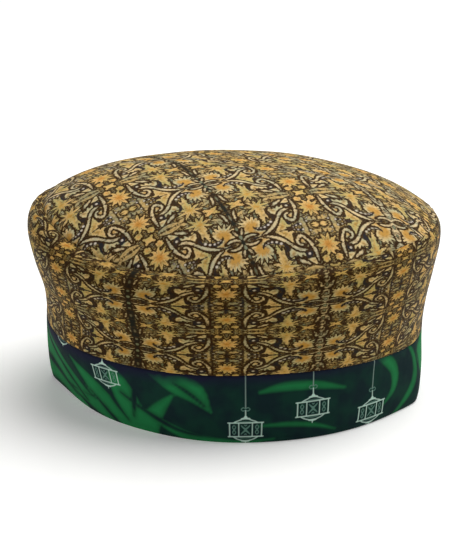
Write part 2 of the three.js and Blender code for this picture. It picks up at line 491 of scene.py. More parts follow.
def crown_piece(name, steps, fields_at, materials):
    """The crown: a printed disc grid outside, a coarser plain one inside, closed round the seam."""
    share, angle = disc_places(steps)
    seam_share = 1 - SEAM_GAP / 2 / SEAM_SLOPE
    edge_distance = (1 - share) * EDGE_SLOPE
    sunk = roll_in(edge_distance, seam_dip(angle), SEAM_REACH)
    sunk = sunk + dents(angle, PUCKER_LENGTH + edge_distance) * share
    outside = disc_points(share * seam_share, angle, sunk)
    inner_share, inner_angle = disc_places(steps // SKIP)
    inside = disc_points(inner_share * seam_share, inner_angle, np.full(inner_share.shape, CLOTH))
    index = np.arange(share.size).reshape(share.shape)
    inner_index = share.size + np.arange(inner_share.size).reshape(inner_share.shape)
    ring = joining_faces(edge_of(index), edge_of(inner_index))
    groups = [
        (ring_quads(*share.shape, False), 0),
        (ring_quads(*inner_share.shape, False, turned=True, start=share.size), 1),
        (ring, 0),
    ]
    places = crown_places(share, angle)
    inner_places = unit(crown_places(inner_share, inner_angle) + TINY) * inner_share[..., None]
    printed = fields_at(places[..., 0], places[..., 1])
    points = np.concatenate([outside.reshape(-1, 3), inside.reshape(-1, 3)])
    maps = crown_maps(places, inner_places, groups)
    return cloth_object(name, points, groups, with_plain(printed, inner_share.size), maps, materials)


# The gold print repeats one quarter tile, mirrored to all four sides. In it x runs from the column of
# star flowers to the dark column and y from the row of small stars to the row of dark leaves, in
# millimetres on the crown. Each stroke is a line of (x, y, half width), and a round is (x, y, radius).
TILE_WIDTH, TILE_HEIGHT = 39.0, 25.2
FILLER_LEAVES = [
    [(5.9, 0.9, 0.3), (8.5, 1.6, 0.95), (11.5, 1.9, 1.15), (14.3, 1.3, 0.9), (15.8, 0.8, 0.2)],
    [(16.3, 0.5, 0.5), (17.6, 1.3, 0.9), (19.3, 1.9, 0.5)],
    [(17.0, 3.9, 0.3), (18.8, 4.2, 1.0), (19.8, 5.8, 1.25), (19.6, 7.6, 0.9), (18.6, 8.6, 0.2)],
    [(8.6, 3.5, 0.4), (10.6, 4.0, 0.7), (12.0, 4.9, 0.3)],
    [(26.0, 0.6, 0.5), (27.6, 1.3, 0.8), (29.2, 2.2, 0.4)],
    [(34.0, 3.2, 0.2), (35.2, 4.6, 0.8), (36.1, 6.4, 0.6), (36.4, 7.8, 0.15)],
    [(26.6, 7.9, 0.5), (29.4, 8.5, 0.85), (32.6, 8.9, 0.7), (34.3, 9.3, 0.15)],
    [(30.6, 6.2, 0.2), (32.4, 6.9, 0.75), (34.4, 7.8, 0.75), (35.9, 9.2, 0.2)],
    [(28.8, 9.9, 0.2), (31.0, 10.3, 0.6), (33.6, 10.5, 0.5), (35.4, 10.9, 0.15)],
    [(37.3, 8.8, 0.2), (36.9, 11.0, 0.6), (37.1, 13.2, 0.2)],
    [(35.7, 12.2, 0.15), (36.4, 14.4, 0.6), (37.3, 16.6, 0.2)],
    [(2.9, 8.0, 0.3), (3.9, 8.7, 0.9), (4.7, 9.6, 0.4)],
    [(3.2, 16.4, 0.2), (4.7, 15.9, 0.75), (5.7, 15.1, 0.3)],
    [(4.6, 17.6, 0.2), (6.2, 17.4, 0.8), (7.8, 18.3, 0.6), (8.9, 19.7, 0.2)],
    [(0.9, 21.4, 0.5), (2.2, 20.9, 1.3), (3.8, 20.9, 1.2), (5.2, 21.0, 0.5)],
    [(0.9, 25.2, 0.6), (2.6, 24.7, 1.7), (4.6, 24.9, 1.3)],
    [(7.5, 19.8, 0.6), (7.9, 22.0, 1.2), (7.8, 25.2, 0.9)],
    [(9.6, 21.8, 0.2), (10.8, 21.3, 0.6), (11.9, 21.6, 0.2)],
    [(13.0, 21.2, 0.2), (13.8, 20.6, 0.5), (14.6, 21.3, 0.2)],
    [(20.5, 11.0, 0.3), (21.0, 12.8, 0.6), (21.4, 14.2, 0.3), (21.3, 15.4, 0.1)],
    [(26.2, 13.8, 0.15), (27.2, 12.9, 0.6), (28.8, 12.7, 0.5), (30.0, 13.4, 0.15)],
]
SCROLLS = [
    [(12.3, 17.3, 1.95), (11.9, 17.0, 2.1)],
    [(7.9, 15.0, 0.3), (9.0, 17.1, 1.0), (10.1, 18.6, 1.3), (11.0, 19.5, 0.8)],
    [(6.5, 4.1, 0.5), (7.8, 4.9, 1.45), (9.6, 5.7, 1.35), (11.5, 6.2, 0.6), (12.7, 6.5, 0.15)],
    [(7.2, 4.3, 1.0), (7.5, 7.2, 0.7), (7.7, 9.2, 0.2)],
    [(18.6, 10.6, 1.7), (18.3, 11.6, 1.8)],
    [(18.0, 12.3, 1.5), (17.4, 13.8, 1.0), (18.0, 15.8, 0.7), (19.6, 18.1, 0.5)],
    [(19.6, 18.5, 0.4), (21.6, 21.0, 0.8), (23.9, 22.3, 1.15), (26.5, 23.2, 1.5), (29.2, 23.2, 1.95)],
    [(29.2, 23.2, 1.95), (31.8, 22.0, 2.4), (33.6, 19.8, 2.5), (34.1, 17.6, 2.3), (33.2, 15.8, 1.7)],
    [(33.2, 15.8, 1.7), (31.5, 15.0, 1.5), (29.9, 16.0, 1.9), (29.6, 17.0, 2.1)],
    [(12.7, 8.4, 0.15), (13.8, 10.1, 0.65), (15.3, 12.0, 0.9), (16.8, 13.5, 0.6)],
    [(15.3, 8.2, 0.15), (15.6, 10.4, 0.75), (16.6, 12.4, 0.9)],
]
GOLD_LEAVES = [
    [(23.9, 7.5, 1.9), (24.1, 10.6, 1.6), (24.4, 13.2, 1.25), (24.8, 16.0, 0.6), (24.9, 17.9, 0.15)],
    [(23.5, 10.6, 1.1), (22.8, 12.6, 0.7), (22.2, 14.9, 0.15)],
    [(16.1, 16.4, 0.15), (16.6, 18.7, 0.9), (17.3, 21.2, 1.6), (18.2, 23.0, 1.9), (19.6, 24.2, 1.5)],
    [(19.6, 24.2, 1.5), (21.6, 25.2, 0.5), (22.6, 25.6, 0.15)],
    [(17.4, 22.0, 1.3), (15.4, 22.9, 0.9), (13.9, 22.8, 0.2)],
]
DARK_SHAPES = [
    [(16.6, 8.9, 0.15), (18.1, 8.0, 0.5), (19.8, 8.0, 0.6), (21.2, 9.3, 0.65), (21.9, 11.2, 0.65)],
    [(21.9, 11.2, 0.65), (21.6, 13.0, 0.8), (20.5, 14.3, 1.3), (19.9, 15.7, 1.1), (20.9, 18.0, 1.2)],
    [(20.9, 18.0, 1.2), (22.6, 19.6, 1.55), (25.0, 20.6, 1.65), (27.3, 20.9, 1.4), (29.5, 20.4, 1.05)],
    [(29.5, 20.4, 1.05), (30.9, 19.1, 0.65), (31.3, 17.8, 0.25)],
    [(13.3, 14.9, 0.2), (14.9, 15.9, 0.5), (15.3, 17.8, 0.55), (14.9, 20.0, 0.65), (14.3, 22.0, 0.8)],
    [(9.4, 12.4, 0.7), (10.0, 11.0, 1.7), (10.8, 9.6, 1.9), (11.6, 8.0, 1.1), (12.1, 7.0, 0.2)],
    [(6.0, 3.0, 0.1), (5.9, 9.0, 0.15), (6.1, 16.0, 0.25), (6.3, 20.0, 0.35), (6.2, 25.2, 0.15)],
    [(8.6, 24.2, 0.3), (10.2, 23.5, 0.9), (12.4, 24.1, 0.8), (14.0, 24.9, 0.3)],
    [(0.0, 18.8, 0.1), (0.0, 21.4, 0.3), (0.0, 25.2, 0.2)],
    [(0.4, 23.4, 0.1), (1.9, 22.8, 0.12), (3.8, 22.5, 0.1), (5.6, 22.8, 0.1)],
    [(13.6, 25.2, 0.8), (20.0, 25.4, 0.55), (26.0, 25.4, 0.2)],
    [(26.0, 25.4, 0.3), (31.5, 25.4, 0.75), (36.0, 25.4, 0.5)],
    [(8.2, 2.9, 0.1), (11.0, 3.2, 0.35), (13.8, 4.0, 0.4), (16.5, 5.7, 0.15)],
    [(25.6, 11.6, 0.3), (27.2, 11.2, 0.8), (29.8, 11.7, 0.4)],
]
STEMS = [
    [(7.3, 4.4, 0.1), (7.2, 6.9, 0.4), (7.3, 9.9, 0.62), (7.6, 12.9, 0.72), (8.5, 15.8, 0.6)],
    [(8.5, 15.8, 0.6), (9.8, 18.3, 0.42), (11.0, 20.0, 0.62), (12.6, 19.8, 0.7), (14.1, 18.2, 0.6)],
    [(14.1, 18.2, 0.6), (14.2, 16.3, 0.5), (13.2, 15.0, 0.36), (12.0, 14.8, 0.15)],
    [(11.0, 11.9, 0.15), (12.8, 12.0, 0.45), (14.6, 12.8, 0.72), (16.4, 14.3, 0.62), (18.0, 16.5, 0.42)],
    [(18.0, 16.5, 0.42), (19.6, 18.8, 0.58), (21.6, 20.9, 0.74), (23.9, 22.7, 0.62), (26.2, 24.0, 0.36)],
    [(26.2, 24.0, 0.36), (28.4, 24.7, 0.12)],
    [(11.9, 4.1, 0.15), (13.5, 5.2, 0.6), (15.5, 6.5, 0.75), (17.2, 7.6, 0.2)],
    [(35.5, 3.9, 0.1), (36.2, 6.2, 0.4), (36.7, 8.6, 0.45), (37.0, 11.4, 0.12)],
    [(38.9, 24.7, 0.2), (36.5, 23.0, 0.5), (33.8, 22.6, 0.46), (31.2, 23.3, 0.12)],
    [(38.6, 21.2, 0.15), (37.6, 19.4, 0.5), (36.6, 17.3, 0.12)],
]
FLOWER_ROUNDS = [(3.4, 5.2, 1.75)]
SMALL_LEAVES = [
    [(0.0, 0.0, 1.1), (1.6, 1.3, 0.75), (2.5, 2.0, 0.15)],
    [(0.9, 24.9, 0.3), (2.2, 24.4, 0.7), (3.6, 24.6, 0.25)],
]
PEARLS = [
    (22.2, 18.2, 0.75),
    (24.0, 19.7, 0.66),
    (26.1, 20.4, 0.6),
    (28.0, 20.4, 0.46),
    (29.5, 19.8, 0.38),
    (10.8, 9.4, 0.7),
    (5.6, 22.2, 0.5),
    (9.0, 23.4, 0.6),
    (11.4, 23.8, 0.5),
    (13.2, 24.4, 0.4),
    (4.6, 20.0, 0.4),
]
HOLLOWS = [
    [(39.0, 15.4, 0.2), (39.0, 16.5, 0.6), (39.0, 17.6, 0.2)],
    [(39.0, 20.8, 0.2), (39.0, 22.0, 0.8), (39.0, 23.2, 0.3)],
    [(27.6, 10.7, 0.2), (27.7, 12.2, 0.5), (27.2, 13.6, 0.2)],
    [(39.0, 6.8, 0.2), (39.0, 8.6, 0.5), (39.0, 10.4, 0.2)],
    [(31.8, 2.9, 0.2), (31.0, 3.6, 0.6), (30.6, 4.4, 0.2)],
]


# Pointed flowers: middle x, y, stretch x, y, inner and outer radius, petals, turn in petals, heart.
STAR = (0.0, 12.7, 1.06, 0.97, 2.8, 6.8, 10, 0, 3.1)
SMALL_STAR = (32.8, 0.0, 0.85, 1.2, 1.0, 4.2, 4, 0.5, 1.3)
MAPLE = (24.3, 5.8, 1.0, 1.0, 1.4, 6.8, 9, 0.25, 2.5)
MAPLE_FOOT = 0.9  # the maple leaf is cut off level here
CREST = (31.4, 18.4, 1.0, 1.0, 3.6, 8.6, 17, 0, 4.2)
CREST_ROUND = (35.2, 14.8, 8.2)  # the crest stays within this round
PETAL_CURVE = 1.15  # above 1 petals are pointed
PETAL_EASE = 0.5  # share of the depth kept, because a petal's edge is steep

# The columns half-way between the stars, in tile millimetres.
SPINE, SPINE_SWELL = 0.8, 0.5  # half width of a dark spine, and how much more it has between its rungs
RUNG_STEP, RUNG_HALF, RUNG_LEAN = TILE_HEIGHT / 8, 0.42, 0.7  # spacing, half width and slope of the rungs
RUNG_START, RUNG_END = 1.1, 3.6  # how far aside a rung starts and ends
CHAIN = 2.1  # half width of the dark line under a chain of beads
BEAD_STEP, BEAD_STRETCH = TILE_HEIGHT / 4, 2  # spacing of the beads, and how many times longer than wide
BEAD_RADIUS, BEAD_HALF = 1.05, 0.36  # middle radius and half width of a bead's ring


def mirrored(place, width):
    """Folds a length back and forth, so that 0 and every second width are mirror lines, as is width."""
    return np.abs((place + width) % (2 * width) - width)


def smooth_line(rows, steps=4):
    """More rows between those given, steps to each span of the cubic through them."""
    rows = np.array(rows, float)
    t = (np.arange(steps) / steps)[:, None]
    return np.concatenate([*(cubic(rows, row, t) for row in range(len(rows) - 1)), rows[-1:]])


def brushed(strokes, x, y):
    """How deep each point lies in the strokes: half width less the distance, or FAR away from them all."""
    layer = np.full(x.shape, FAR)
    for rows in strokes:
        line = smooth_line(rows)
        reach = line[:, 2].max() - FAR + 1
        near_x = np.abs(x - line[:, 0].mean()) < np.ptp(line[:, 0]) / 2 + reach
        near = near_x & (np.abs(y - line[:, 1].mean()) < np.ptp(line[:, 1]) / 2 + reach)
        px, py, depth = x[near], y[near], layer[near]
        for (ax, ay, aw), (bx, by, bw) in zip(line[:-1], line[1:]):
            dx, dy = bx - ax, by - ay
            share = np.clip(((px - ax) * dx + (py - ay) * dy) / (dx * dx + dy * dy + TINY), 0, 1)
            distance = np.hypot(px - ax - share * dx, py - ay - share * dy)
            depth = np.maximum(depth, aw + share * (bw - aw) - distance)
        layer[near] = depth
    return layer


def rounds(rows, x, y):
    """How deep each point lies in round spots, each (x, y, radius), or FAR away from them all."""
    layer = np.full(x.shape, FAR)
    for spot_x, spot_y, radius in rows:
        layer = np.maximum(layer, radius - np.hypot(x - spot_x, y - spot_y))
    return layer


def pointed_flower(shape, x, y):
    """How deep each point lies in a flower: a round heart with petals.

    The petals' radius swings from inner to outer and back once for each, and their depth is eased.
    """
    middle_x, middle_y, stretch_x, stretch_y, inner, outer, petals, turn, heart = shape
    x, y = (x - middle_x) * stretch_x, (y - middle_y) * stretch_y
    swing = np.abs(((np.arctan2(y, x) * petals / (2 * np.pi) + turn) % 1) * 2 - 1)
    radius = np.hypot(x, y)
    return np.maximum((inner + (outer - inner) * swing**PETAL_CURVE - radius) * PETAL_EASE, heart - radius)


def dark_column(aside, y):
    """A thin dark spine with gold rungs that slant to both sides, as the dark and the gold depths."""
    spine = SPINE + SPINE_SWELL * np.abs((y / RUNG_STEP) % 1 * 2 - 1) - aside
    rung = RUNG_HALF - np.abs((y + RUNG_LEAN * aside) % RUNG_STEP - RUNG_STEP / 2)
    return spine, np.minimum(rung, np.minimum(aside - RUNG_START, RUNG_END - aside))


def bead_column(aside, y):
    """A chain of gold rings on a dark line, as the dark and the gold depths."""
    from_bead = np.hypot(aside, (y % BEAD_STEP - BEAD_STEP / 2) / BEAD_STRETCH)
    return CHAIN - aside, BEAD_HALF - np.abs(from_bead - BEAD_RADIUS)


def gold_print(x, y, ink):
    """The layers of the gold print at places in tile millimetres, each the depth inside its shapes.

    The columns half-way between the stars are dark ones and bead ones by turns. ink is how far the dark
    ground spreads over the edges of the gold, and on the wall part of it is painted shade.
    """
    tile_x, tile_y = x, y
    beaded = np.floor(x / (2 * TILE_WIDTH)) % 2 == 0
    x, y = mirrored(x, TILE_WIDTH), mirrored(y, TILE_HEIGHT)
    stars = np.maximum(pointed_flower(STAR, x, y), pointed_flower(SMALL_STAR, x, y))
    buds = np.maximum(brushed(SMALL_LEAVES, x, y), rounds(FLOWER_ROUNDS, x, y))
    maple = np.minimum(pointed_flower(MAPLE, x, y), y - MAPLE_FOOT)
    crest = np.minimum(pointed_flower(CREST, x, y), rounds([CREST_ROUND], x, y))
    spine, rungs = dark_column(TILE_WIDTH - x, y)
    chain, beads = bead_column(TILE_WIDTH - x, y)
    return {
        "tile_x": tile_x,
        "tile_y": tile_y,
        "filler": np.maximum(brushed(FILLER_LEAVES, x, y), np.where(beaded, FAR, rungs)) - ink,
        "scroll": np.maximum(brushed(SCROLLS, x, y), crest) - ink,
        "leaf": np.maximum(brushed(GOLD_LEAVES, x, y), maple) - ink,
        "dark": np.maximum(brushed(DARK_SHAPES, x, y), np.where(beaded, chain, FAR)) + ink,
        "column": np.where(beaded, FAR, spine) + ink * 2,
        "hollow": brushed(HOLLOWS, x, y),
        "stem": np.maximum(brushed(STEMS, x, y), np.where(beaded, beads, FAR)) - ink / 2,
        "flower": np.maximum(stars, buds) - ink,
        "pearl": rounds(PEARLS, x, y),
    }


# Real threads are 0.25 mm apart. They are drawn at 0.7 mm, so that they show.
THREAD_STEP, THREAD_HEIGHT = 0.7, 0.05
WRINKLE_SIZE, WRINKLE_HEIGHT = 11, 0.9
BUMP_STRENGTH = 0.8
WAVE_BANDS = 20 / (2 * np.pi)  # bands that the wave texture draws in one millimetre at scale 1


def node(tree, kind, inputs=(), out=0, **settings):
    """Adds a node and returns one of its outputs. Each input is a socket to link, or a value."""
    made = tree.nodes.new("ShaderNode" + kind)
    for setting, value in settings.items():
        setattr(made, setting, value)
    for place, value in dict(inputs).items():
        if isinstance(value, bpy.types.NodeSocket):
            tree.links.new(value, made.inputs[place])
        else:
            made.inputs[place].default_value = value
    return made.outputs[out]


def new_material(name, settings):
    """A material whose shader has these settings on its sockets, with its node tree and its shader."""
    material = bpy.data.materials.new(name)
    material.use_nodes = True
    shader = material.node_tree.nodes["Principled BSDF"]
    for socket, value in settings.items():
        shader.inputs[socket].default_value = value
    return material, material.node_tree, shader


def inked(tree, below, ink, depth, low, high, most=1.0):
    """Lays an ink over the colour below: none where depth is under low, most of it from high upwards."""
    share = node(tree, "MapRange", {"Value": depth, "From Min": low, "From Max": high, "To Max": most})
    below, ink = (linear(colour) if isinstance(colour, str) else colour for colour in (below, ink))
    return node(tree, "Mix", {0: share, 6: below, 7: ink}, out=2, data_type="RGBA")


def add_weave(tree, shader, cloth):
    """Plain weave and soft wrinkles as bump: the higher of two sets of bands, on a slow swell."""
    wave = {"Vector": cloth, "Scale": 1 / (WAVE_BANDS * THREAD_STEP)}
    across = node(tree, "TexWave", wave, out="Fac", bands_direction="X")
    along = node(tree, "TexWave", wave, out="Fac", bands_direction="Y")
    threads = node(tree, "Math", {0: across, 1: along}, operation="MAXIMUM")
    weave = node(tree, "Math", {0: threads, 1: THREAD_HEIGHT}, operation="MULTIPLY")
    wrinkles = node(tree, "TexNoise", {"Vector": cloth, "Scale": 1 / WRINKLE_SIZE})
    height = node(tree, "Math", {0: wrinkles, 1: WRINKLE_HEIGHT, 2: weave}, operation="MULTIPLY_ADD")
    bump = node(tree, "Bump", {"Height": height, "Distance": MM, "Strength": BUMP_STRENGTH})
    tree.links.new(bump, shader.inputs["Normal"])


# The layers of the gold print, from the lowest up: field, outline width, how far its edge wanders,
# colour at the edge, second edge colour that comes and goes over the cloth, and colour of the heart.
GOLD_LAYERS = [
    ("filler", 0.55, 1.3, "#CEAE70", "#A49E78", "#BE9648"),
    ("scroll", 1.05, 0.8, "#E6CA90", "#C8C094", "#CA9848"),
    ("leaf", 0.9, 1.4, "#E0BF80", "#C4B676", "#CA9A46"),
    ("dark", 0.0, 0.6, "#36220A", "#20222A", "#161E26"),
    ("stem", 1.1, 0.7, "#E4CA98", "#C8BE98", "#D6B474"),
    ("flower", 0.9, 1.1, "#E6BC74", "#CEB26A", "#D0903E"),
    ("column", 0.0, 0.8, "#2A1B08", "#181E1A", "#14161A"),
    ("hollow", 0.3, 0.3, "#7D8568", "#93937A", "#8C967C"),
    ("pearl", 0.25, 0.0, "#DCD0B0", "#E0D4C4", "#F0E8D4"),
]
OUTLINE = "#301B04"
EDGE = 0.22  # half the width over which a printed edge turns from one colour to the next
HEART_START, HEART_FULL = 0.5, 2.2  # depths between which the edge's colour turns to the heart's

# Sizes of the noises that make the gold print uneven, in millimetres.
PATCHES, TINTS, WEAR = 9, 3, 1.6  # over the cloth
SPECKS, VEINS, WANDER = 1.05, 2.0, 1.1  # in the mirrored tile
SWAP = (0.42, 0.58)  # values of a noise between which one tone turns to the other
VEIN_SHARE, WEAR_SHARE = 0.42, 0.1  # how much of their colour veins and wear add at most


def printed_gold(name, painted_shade_tint):
    """Gold arabesque printed on woven polyester: a matt ground, soft printed edges, a slight sheen.

    Edges wander, veins darken the gold and specks of gold fill the ground, all in the mirrored tile.
    Two tones come and go over the cloth itself, and the last argument is a colour that multiplies the
    whole:
    painted shade, which makes one copy of the same cloth darker and deeper.
    """
    material, tree, shader = new_material(
        name,
        {
            "Roughness": 0.7,
            "Specular IOR Level": 0.06,
            "Specular Tint": linear("#FFE4B8"),
            "Sheen Weight": 0.05,
            "Sheen Roughness": 0.5,
            "Sheen Tint": linear("#FFF4E4"),
        },
    )
    cloth = node(tree, "UVMap", uv_map="cloth")
    tile = {}
    for axis, field, size in (("X", "tile_x", TILE_WIDTH), ("Y", "tile_y", TILE_HEIGHT)):
        place = node(tree, "Attribute", out="Fac", attribute_name=field)
        tile[axis] = node(tree, "Math", {0: place, 1: size}, operation="PINGPONG")
    folded = node(tree, "CombineXYZ", tile)
    patches, tints, wear, specks, veins, wander = (
        node(tree, "TexNoise", {"Vector": place, "Scale": 1 / size, "Detail": detail})
        for place, size, detail in (
            (cloth, PATCHES, 2.0),
            (cloth, TINTS, 2.0),
            (cloth, WEAR, 3.0),
            (folded, SPECKS, 1.0),
            (folded, VEINS, 4.0),
            (folded, WANDER, 3.0),
        )
    )
    wander = node(tree, "Math", {0: wander, 1: 0.5}, operation="SUBTRACT")

    ground = inked(tree, "#382306", "#202416", patches, 0.38, 0.62)
    ground = inked(tree, ground, "#361A0E", tints, *SWAP)
    speck = inked(tree, "#A88A50", "#8C845E", tints, *SWAP)
    colour = inked(tree, ground, speck, specks, 0.45, 0.54)
    for field, outline, reach, edge, second, heart in GOLD_LAYERS:
        drawn = node(tree, "Attribute", out="Fac", attribute_name=field)
        depth = node(tree, "Math", {0: wander, 1: reach * 2, 2: drawn}, operation="MULTIPLY_ADD")
        if outline:
            colour = inked(tree, colour, OUTLINE, depth, -outline - EDGE, -outline + EDGE)
        body = inked(tree, edge, second, patches, *SWAP)
        body = inked(tree, body, heart, depth, HEART_START, HEART_FULL)
        colour = inked(tree, colour, body, depth, -EDGE, EDGE)
    vein = inked(tree, "#5A3C12", "#4E3420", tints, *SWAP)
    colour = inked(tree, colour, vein, veins, 0.5, 0.64, most=VEIN_SHARE)
    faded = inked(tree, "#6E5C34", "#5E5A44", tints, *SWAP)
    colour = inked(tree, colour, faded, wear, 0.35, 0.75, most=WEAR_SHARE)
    # painted shade: the whole print multiplied by the piece's tint, white for none
    painted_shade_mix = {0: 1.0, 6: colour, 7: linear(painted_shade_tint)}
    colour = node(tree, "Mix", painted_shade_mix, out=2, data_type="RGBA", blend_type="MULTIPLY")
    tree.links.new(colour, shader.inputs["Base Color"])
    add_weave(tree, shader, cloth)
    return material


# The green print: soft leaf-like sweeps on a blue-black ground, with lanterns on threads over them.
# Strokes are lines of (x, y, half width), x round the cap and y up from the rim.
SWEEP_REPEAT = 297.0  # the sweeps come twice round the band
GREEN_SWEEPS = [
    [(-176, 20, 8), (-152, 25, 10), (-132, 25, 11), (-114, 20, 9.5), (-98, 15, 5), (-84, 13, 0.5)],
    [(-168, 4, 3.0), (-142, 7, 5.0), (-120, 6, 6.0), (-102, -1, 6.0)],
    [(-98, 30, 0.5), (-86, 21, 4.6), (-74, 10, 7.0), (-62, -4, 8.0)],
    [(-108, 9, 0.5), (-93, 8, 3.6), (-79, 4, 5.4), (-66, -6, 6.0)],
    [(-66, 34, 1.5), (-62, 24, 6.4), (-58, 12, 8.4), (-54, -4, 9.5)],
    [(-31, 24, 0.5), (-38, 17, 3.0), (-45, 9, 4.8), (-52, -4, 6.5)],
    [(-40, 36, 4.0), (-30, 31, 6.0), (-20, 26, 5.4), (-12, 16, 0.5)],
    [(-48, 13, 0.5), (-38, 7, 2.4), (-22, 1.5, 2.6), (0, 0.5, 1.6), (20, 2, 0.3)],
    [(12, 26, 0.8), (24, 28, 2.3), (40, 27, 2.1), (56, 23, 0.6)],
    [(12, 9, 0.4), (26, 9.0, 1.3), (40, 7, 1.1), (52, 3, 0.3)],
    [(76, 34, 1.2), (84, 30, 3.0), (90, 23, 3.2), (88, 14, 1.8), (80, 7, 0.3)],
    [(103, 34, 0.6), (109, 24, 1.8), (105, 12, 2.2), (92, 1, 1.2), (84, -3, 0.3)],
]
DARK_SWEEPS = [
    [(-156, 33, 0.3), (-138, 29, 1.0), (-120, 23, 1.3), (-104, 15, 0.9), (-94, 7, 0.3)],
    [(-166, 11, 0.8), (-142, 14, 1.9), (-122, 12, 1.7), (-106, 6, 0.3)],
    [(-128, 33, 0.3), (-112, 28, 1.4), (-97, 20, 1.8), (-86, 11, 0.3)],
    [(-146, 2, 0.3), (-128, 2, 1.0), (-112, -2, 0.9)],
    [(-73, 28, 0.3), (-69, 16, 1.5), (-62, 5, 0.3)],
    [(-86, 15, 0.3), (-76, 6, 1.2), (-67, -4, 0.9)],
    [(-52, 29, 0.3), (-54, 18, 1.5), (-57, 8, 0.3)],
    [(-62, 20, 0.3), (-47, 12, 1.1), (-30, 5, 1.0), (-10, 3, 0.3)],
    [(-30, 30, 0.3), (-22, 25, 0.9), (-15, 19, 0.3)],
    [(87, 33, 0.3), (98, 22, 1.4), (97, 12, 0.3)],
    [(112, 30, 0.3), (114, 20, 0.9), (108, 6, 0.3)],
]

# One half of a lantern about the middle of its body, which is mirrored to the other side.
LANTERN_FRAME = [
    [(0, 3.6, 0.3), (8.8, 3.6, 0.3)],
    [(0, -3.6, 0.3), (8.8, -3.6, 0.3)],
    [(8.0, 3.6, 0.3), (8.0, -3.6, 0.3)],
    [(3.35, 3.6, 0.26), (3.35, -3.6, 0.26)],
    [(6.0, 3.7, 0.26), (4.6, 4.4, 0.26), (3.2, 4.9, 0.26), (1.9, 5.5, 0.3)],
    [(0, 6.0, 0.5), (1.9, 5.7, 0.42)],
    [(0, 6.8, 0.6), (0.8, 6.3, 0.2)],
    [(0, 6.8, 0.3), (0, 10.0, 0.26)],
    [(6.2, -3.7, 0.26), (4.8, -4.6, 0.26), (3.3, -5.2, 0.26), (2.0, -5.6, 0.3)],
    [(0, -6.0, 0.5), (1.8, -5.8, 0.4)],
    [(0, -6.4, 0.34), (0, -7.4, 0.2)],
]
LANTERN_ORNAMENT = [
    [(0, 4.4, 0.2), (2.6, 4.2, 0.2)],
    [(0, -4.5, 0.2), (2.8, -4.3, 0.2)],
    [(0, 0.2, 0.5), (1.4, 1.4, 0.35), (2.2, 2.3, 0.2)],
    [(0, -0.2, 0.5), (1.4, -1.4, 0.35), (2.2, -2.3, 0.2)],
    [(0, 2.1, 0.3), (0.6, 2.5, 0.2)],
    [(0, -2.1, 0.3), (0.6, -2.5, 0.2)],
    [(5.7, 0, 0.3), (4.9, 1.3, 0.24), (5.7, 2.4, 0.24), (6.5, 1.3, 0.24), (5.7, 0, 0.3)],
    [(5.7, 0, 0.3), (4.9, -1.3, 0.24), (5.7, -2.4, 0.24), (6.5, -1.3, 0.24), (5.7, 0, 0.3)],
    [(0, 10.0, 0.24), (1.3, 9.8, 0.24), (2.1, 10.6, 0.24), (1.2, 11.4, 0.24), (0, 10.9, 0.24)],
]
LANTERNS = [
    # place round the cap, height of the middle of the body, how far the thread leans at its top
    (5.0, 7.3, 0.0),
    (38.6, 15.6, 0.3),
    (73.0, 7.3, 4.0),
    (-70.0, 27.6, 0.0),
    (-104.0, 40.4, 0.0),
    (-176.0, 20.0, 0.0),
    (-210.0, 9.0, 0.0),
    (-244.0, 27.0, 0.0),
    (-278.0, 13.0, 0.0),
    (146.0, 14.0, 0.0),
    (180.0, 26.0, 0.0),
    (215.0, 8.0, 0.0),
    (250.0, 18.0, 0.0),
    (281.0, 28.0, 0.0),
]
THREAD_FOOT, THREAD_TOP = 11.2, 40  # a thread runs from so far above its lantern's middle to this height
THREAD_HALVES = 0.3, 0.24  # its half width at the foot and at the top
LANTERN_REACH = 9.8  # half the width of the columns that a lantern needs close together
LANTERN_CLOSENESS = 3.6  # how many more columns stand there than elsewhere


def drawn_at(strokes, places):
    """How deep each point lies in strokes that are drawn several times, by the points' places for each."""
    return np.maximum.reduce([brushed(strokes, x, y) for x, y in places])


def green_print(x, y):
    """The layers of the green print at lengths round the cap and up from the rim."""
    repeats = [(x + repeat * SWEEP_REPEAT, y) for repeat in (-2, -1, 0, 1, 2)]
    bodies = [(np.abs(x - place), y - height) for place, height, lean in LANTERNS]
    foot_half, top_half = THREAD_HALVES
    threads = [
        [(place, height + THREAD_FOOT, foot_half), (place + lean, THREAD_TOP, top_half)]
        for place, height, lean in LANTERNS
    ]
    return {
        "green": np.minimum(drawn_at(GREEN_SWEEPS, repeats), -drawn_at(DARK_SWEEPS, repeats)),
        "lantern": drawn_at(LANTERN_FRAME, bodies),
        "ornament": drawn_at(LANTERN_ORNAMENT, bodies),
        "thread": brushed(threads, x, y),
    }


def band_angles(count):
    """Angles for the columns of the band, which stand close together where a lantern hangs."""
    angles = np.linspace(90, 450, 7201)
    length = round_the_cap(angles)
    close = np.zeros(angles.shape)
    for place, height, lean in LANTERNS:
        close = np.maximum(close, np.clip(LANTERN_REACH + 1 - np.abs(length - place), 0, 1))
    needed = np.cumsum(1 + LANTERN_CLOSENESS * close)
    return np.interp(np.arange(count) / count, (needed - needed[0]) / np.ptp(needed), angles)


CLOUDS = 14  # size of the slow clouds that make the green print uneven
CLOUD_LIFT, CLOUD_DEPTH = 9.0, 5.0  # how far they move its dark top edge and the sweeps' lighter hearts
DUSK_START, DUSK_FULL = 33.0, 38.5  # heights, with the clouds' lift, between which the dark top sets in
SOFT_EDGE, FINE_EDGE = 0.7, 0.16  # half widths over which sweeps and lanterns turn to the ground


